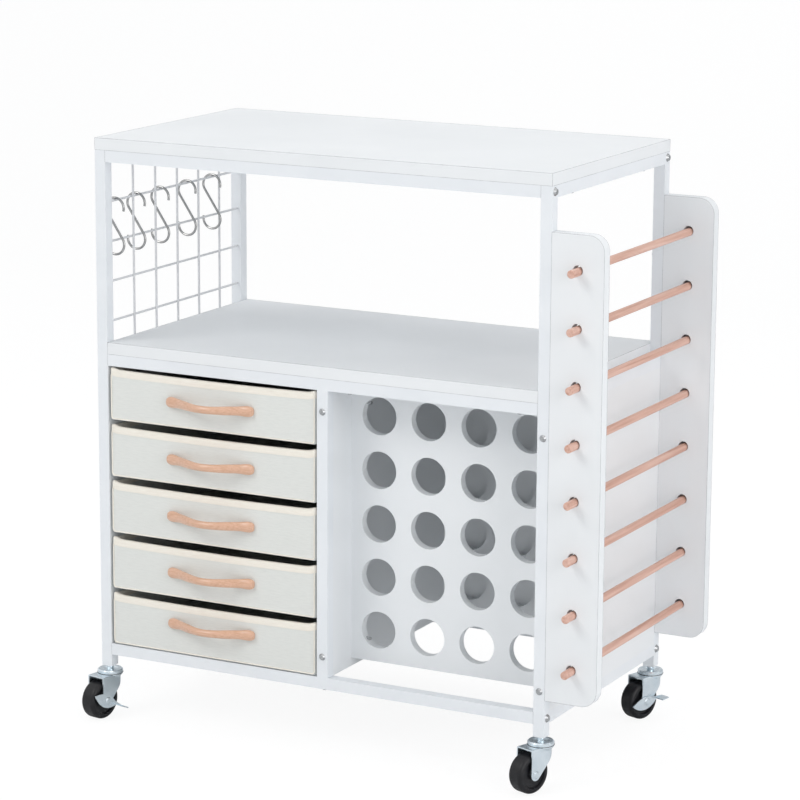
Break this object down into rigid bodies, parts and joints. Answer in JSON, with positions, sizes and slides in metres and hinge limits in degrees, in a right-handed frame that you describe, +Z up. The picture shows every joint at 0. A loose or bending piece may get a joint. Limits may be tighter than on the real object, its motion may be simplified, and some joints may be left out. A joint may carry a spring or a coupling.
{
  "type": "rolling craft cart",
  "caption": "Rolling craft cart of white square tube and board with fabric drawers, a holed bay for rolls, side dowels for rolls, a wire grid with hooks, and swivel casters.",
  "frame": {"origin": "on the floor, at the middle of the rectangle that the cart covers", "axes": "+Z up, -Y towards the user who opens the drawers, +X towards the side with the dowel rack"},
  "size_m": [0.7166, 0.3978, 0.757],
  "materials": {
    "frame_paint": "white powder coat",
    "board_white": "white melamine board",
    "wire_white": "white coated wire",
    "drawer_fabric": "pale grey woven fabric over board",
    "handle_wood": "clear lacquer",
    "dowel_wood": "bare wood",
    "zinc_steel": "bright zinc plate",
    "chrome_wire": "polished",
    "wheel_black": "satin black",
    "runner_steel": "white powder coat",
    "insert_steel": "zinc plate"
  },
  "bodies": {
    "cart": {"left_side_frame": "frame_paint", "right_side_frame": "frame_paint", "front_top_rail": "frame_paint", "rear_top_rail": "frame_paint", "front_mid_rail": "frame_paint", "rear_mid_rail": "frame_paint", "front_bottom_rail": "frame_paint", "rear_bottom_rail": "frame_paint", "front_divider_post": "frame_paint", "rear_divider_post": "frame_paint", "top_board": "board_white", "mid_shelf_board": "board_white", "left_side_panel": "board_white", "right_side_panel": "board_white", "divider_panel": "board_white", "back_panel": "board_white", "front_roll_board": "board_white", "rear_roll_board": "board_white", "front_side_plate": "board_white", "rear_side_plate": "board_white", "side_grid": "wire_white", "drawer_runners": "runner_steel", "tube_inserts": "insert_steel", "frame_bolts": "zinc_steel", "panel_screws": "zinc_steel", "caster_stems": "zinc_steel", "caster_bearing_balls": "zinc_steel"},
    "drawer_1": {"drawer_1": "drawer_fabric", "drawer_1_handle": "handle_wood"},
    "drawer_2": {"drawer_2": "drawer_fabric", "drawer_2_handle": "handle_wood"},
    "drawer_3": {"drawer_3": "drawer_fabric", "drawer_3_handle": "handle_wood"},
    "drawer_4": {"drawer_4": "drawer_fabric", "drawer_4_handle": "handle_wood"},
    "drawer_5": {"drawer_5": "drawer_fabric", "drawer_5_handle": "handle_wood"},
    "dowel_1": {"dowel_1": "dowel_wood"},
    "dowel_2": {"dowel_2": "dowel_wood"},
    "dowel_3": {"dowel_3": "dowel_wood"},
    "dowel_4": {"dowel_4": "dowel_wood"},
    "dowel_5": {"dowel_5": "dowel_wood"},
    "dowel_6": {"dowel_6": "dowel_wood"},
    "dowel_7": {"dowel_7": "dowel_wood"},
    "dowel_8": {"dowel_8": "dowel_wood"},
    "hook_1": {"hook_1": "chrome_wire"},
    "hook_2": {"hook_2": "chrome_wire"},
    "hook_3": {"hook_3": "chrome_wire"},
    "hook_4": {"hook_4": "chrome_wire"},
    "hook_5": {"hook_5": "chrome_wire"},
    "front_left_caster": {"front_left_caster_fork": "zinc_steel"},
    "front_left_wheel": {"front_left_caster_wheel": "wheel_black"},
    "front_left_brake": {"front_left_brake_lever": "zinc_steel"},
    "front_right_caster": {"front_right_caster_fork": "zinc_steel"},
    "front_right_wheel": {"front_right_caster_wheel": "wheel_black"},
    "rear_left_caster": {"rear_left_caster_fork": "zinc_steel"},
    "rear_left_wheel": {"rear_left_caster_wheel": "wheel_black"},
    "rear_right_caster": {"rear_right_caster_fork": "zinc_steel"},
    "rear_right_wheel": {"rear_right_caster_wheel": "wheel_black"},
    "rear_right_brake": {"rear_right_brake_lever": "zinc_steel"}
  },
  "joints": [
    {"name": "drawer_1_slide", "type": "slide", "parent": "cart", "child": "drawer_1", "axis": [0, -1, 0], "range_m": [0, 0.29]},
    {"name": "drawer_2_slide", "type": "slide", "parent": "cart", "child": "drawer_2", "axis": [0, -1, 0], "range_m": [0, 0.29]},
    {"name": "drawer_3_slide", "type": "slide", "parent": "cart", "child": "drawer_3", "axis": [0, -1, 0], "range_m": [0, 0.29]},
    {"name": "drawer_4_slide", "type": "slide", "parent": "cart", "child": "drawer_4", "axis": [0, -1, 0], "range_m": [0, 0.29]},
    {"name": "drawer_5_slide", "type": "slide", "parent": "cart", "child": "drawer_5", "axis": [0, -1, 0], "range_m": [0, 0.29]},
    {"name": "dowel_1_pull", "type": "slide", "parent": "cart", "child": "dowel_1", "axis": [0, -1, 0], "range_m": [0, 0.325]},
    {"name": "dowel_2_pull", "type": "slide", "parent": "cart", "child": "dowel_2", "axis": [0, -1, 0], "range_m": [0, 0.325]},
    {"name": "dowel_3_pull", "type": "slide", "parent": "cart", "child": "dowel_3", "axis": [0, -1, 0], "range_m": [0, 0.325]},
    {"name": "dowel_4_pull", "type": "slide", "parent": "cart", "child": "dowel_4", "axis": [0, -1, 0], "range_m": [0, 0.325]},
    {"name": "dowel_5_pull", "type": "slide", "parent": "cart", "child": "dowel_5", "axis": [0, -1, 0], "range_m": [0, 0.325]},
    {"name": "dowel_6_pull", "type": "slide", "parent": "cart", "child": "dowel_6", "axis": [0, -1, 0], "range_m": [0, 0.325]},
    {"name": "dowel_7_pull", "type": "slide", "parent": "cart", "child": "dowel_7", "axis": [0, -1, 0], "range_m": [0, 0.325]},
    {"name": "dowel_8_pull", "type": "slide", "parent": "cart", "child": "dowel_8", "axis": [0, -1, 0], "range_m": [0, 0.325]},
    {"name": "hook_1_swing", "type": "hinge", "parent": "cart", "child": "hook_1", "pos_m": [-0.33487, -0.13021, 0.6745], "axis": [0, 1, 0], "range_deg": [-25, 9]},
    {"name": "hook_2_swing", "type": "hinge", "parent": "cart", "child": "hook_2", "pos_m": [-0.33487, -0.08021, 0.6745], "axis": [0, 1, 0], "range_deg": [-25, 9]},
    {"name": "hook_3_swing", "type": "hinge", "parent": "cart", "child": "hook_3", "pos_m": [-0.33487, -0.02221, 0.6745], "axis": [0, 1, 0], "range_deg": [-25, 9]},
    {"name": "hook_4_swing", "type": "hinge", "parent": "cart", "child": "hook_4", "pos_m": [-0.33487, 0.04479, 0.6745], "axis": [0, 1, 0], "range_deg": [-25, 9]},
    {"name": "hook_5_swing", "type": "hinge", "parent": "cart", "child": "hook_5", "pos_m": [-0.33487, 0.10779, 0.6745], "axis": [0, 1, 0], "range_deg": [-25, 9]},
    {"name": "front_left_caster_swivel", "type": "hinge", "parent": "cart", "child": "front_left_caster", "pos_m": [-0.33717, -0.15271, 0.057], "axis": [0, 0, 1], "continuous": true},
    {"name": "front_left_wheel_spin", "type": "hinge", "parent": "front_left_caster", "child": "front_left_wheel", "pos_m": [-0.34078, -0.17319, 0.025], "axis": [0.9848, -0.1736, 0], "continuous": true},
    {"name": "front_left_brake_tilt", "type": "hinge", "parent": "front_left_caster", "child": "front_left_brake", "pos_m": [-0.34078, -0.17319, 0.025], "axis": [0.9848, -0.1736, 0], "range_deg": [0, 32]},
    {"name": "front_right_caster_swivel", "type": "hinge", "parent": "cart", "child": "front_right_caster", "pos_m": [0.28283, -0.15271, 0.057], "axis": [0, 0, 1], "continuous": true},
    {"name": "front_right_wheel_spin", "type": "hinge", "parent": "front_right_caster", "child": "front_right_wheel", "pos_m": [0.27572, -0.17225, 0.025], "axis": [0.9397, -0.342, 0], "continuous": true},
    {"name": "rear_left_caster_swivel", "type": "hinge", "parent": "cart", "child": "rear_left_caster", "pos_m": [-0.33717, 0.18229, 0.057], "axis": [0, 0, 1], "continuous": true},
    {"name": "rear_left_wheel_spin", "type": "hinge", "parent": "rear_left_caster", "child": "rear_left_wheel", "pos_m": [-0.34255, 0.1622, 0.025], "axis": [0.9659, -0.2588, 0], "continuous": true},
    {"name": "rear_right_caster_swivel", "type": "hinge", "parent": "cart", "child": "rear_right_caster", "pos_m": [0.28283, 0.18229, 0.057], "axis": [0, 0, 1], "continuous": true},
    {"name": "rear_right_wheel_spin", "type": "hinge", "parent": "rear_right_caster", "child": "rear_right_wheel", "pos_m": [0.27572, 0.16275, 0.025], "axis": [0.9397, -0.342, 0], "continuous": true},
    {"name": "rear_right_brake_tilt", "type": "hinge", "parent": "rear_right_caster", "child": "rear_right_brake", "pos_m": [0.27572, 0.16275, 0.025], "axis": [0.9397, -0.342, 0], "range_deg": [-32, 0]}
  ]
}
